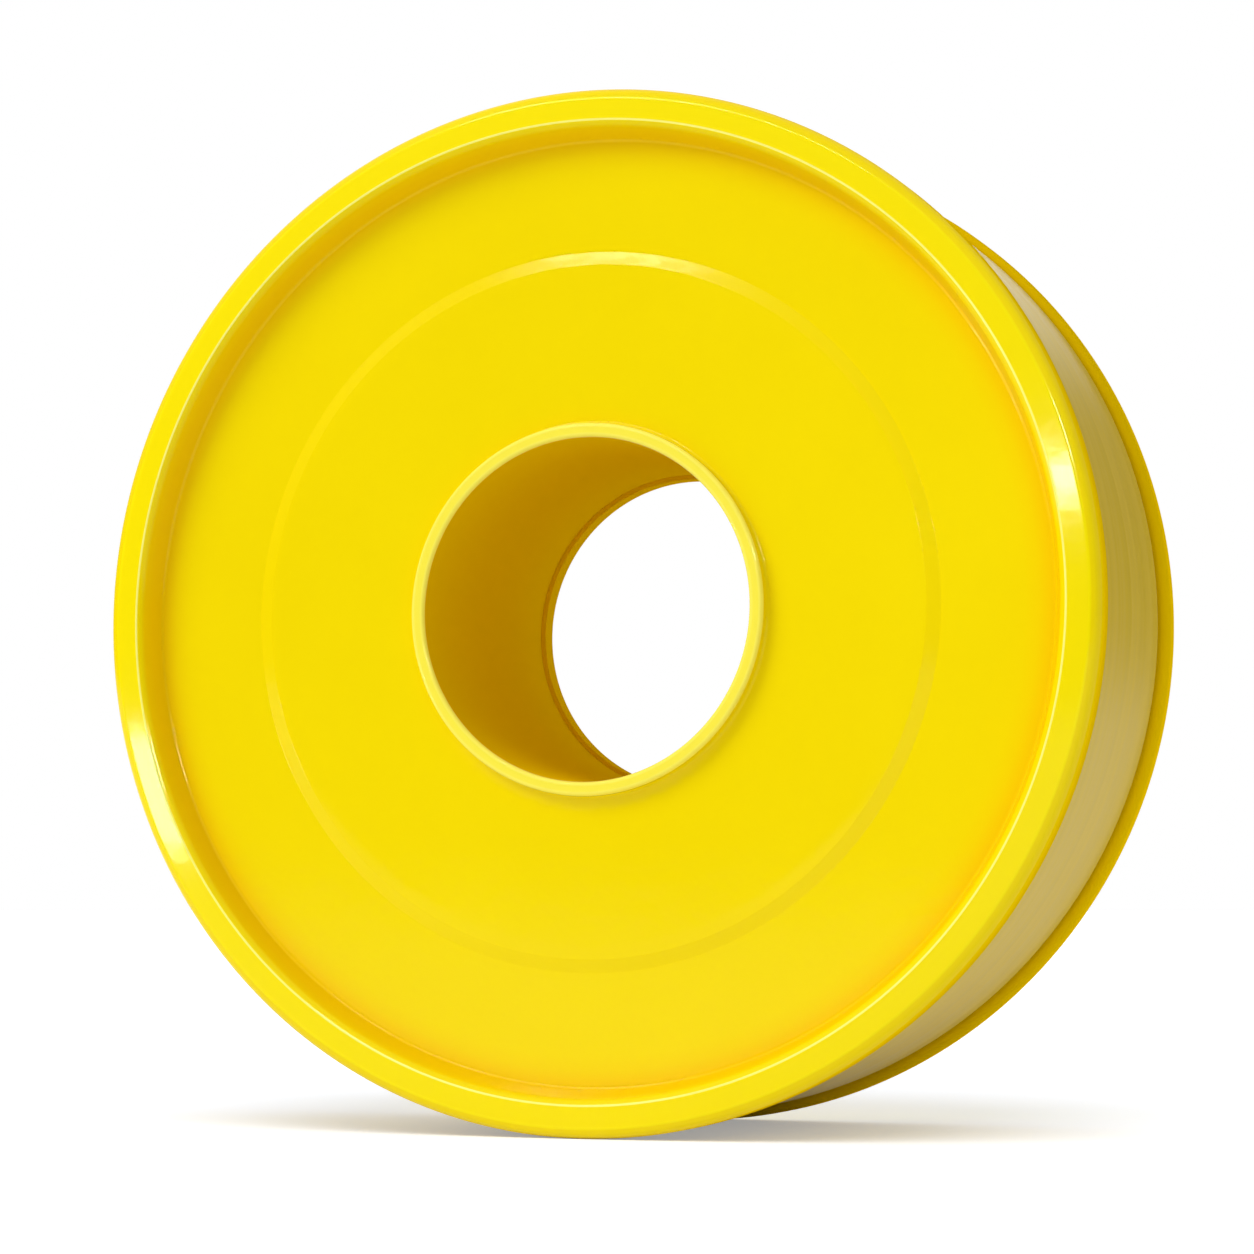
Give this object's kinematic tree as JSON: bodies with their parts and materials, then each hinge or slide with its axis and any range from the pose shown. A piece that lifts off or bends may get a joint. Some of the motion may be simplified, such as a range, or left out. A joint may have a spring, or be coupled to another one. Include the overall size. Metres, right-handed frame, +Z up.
{
  "type": "thread seal tape roll",
  "caption": "Roll of thread seal tape wound on a two-flange plastic spool with dished faces and a plain round bore.",
  "frame": {"origin": "on the spool's axis, midway between the two rim faces", "axes": "+Y along the spool's axis from the front flange to the end flange, +Z up as the roll stands on its rims"},
  "size_m": [0.0698, 0.0256, 0.0698],
  "materials": {
    "spool_plastic": "glossy moulded",
    "tape": "waxy satin"
  },
  "bodies": {
    "spool": {"spool": "spool_plastic", "end_flange": "spool_plastic", "tape_roll": "tape"},
    "tape_end": {"tape_end": "tape"}
  },
  "joints": [
    {"name": "tape_end_peel", "type": "hinge", "parent": "spool", "child": "tape_end", "pos_m": [-0.00389, 0, 0.03418], "axis": [0, 1, 0], "range_deg": [0, 80]}
  ]
}
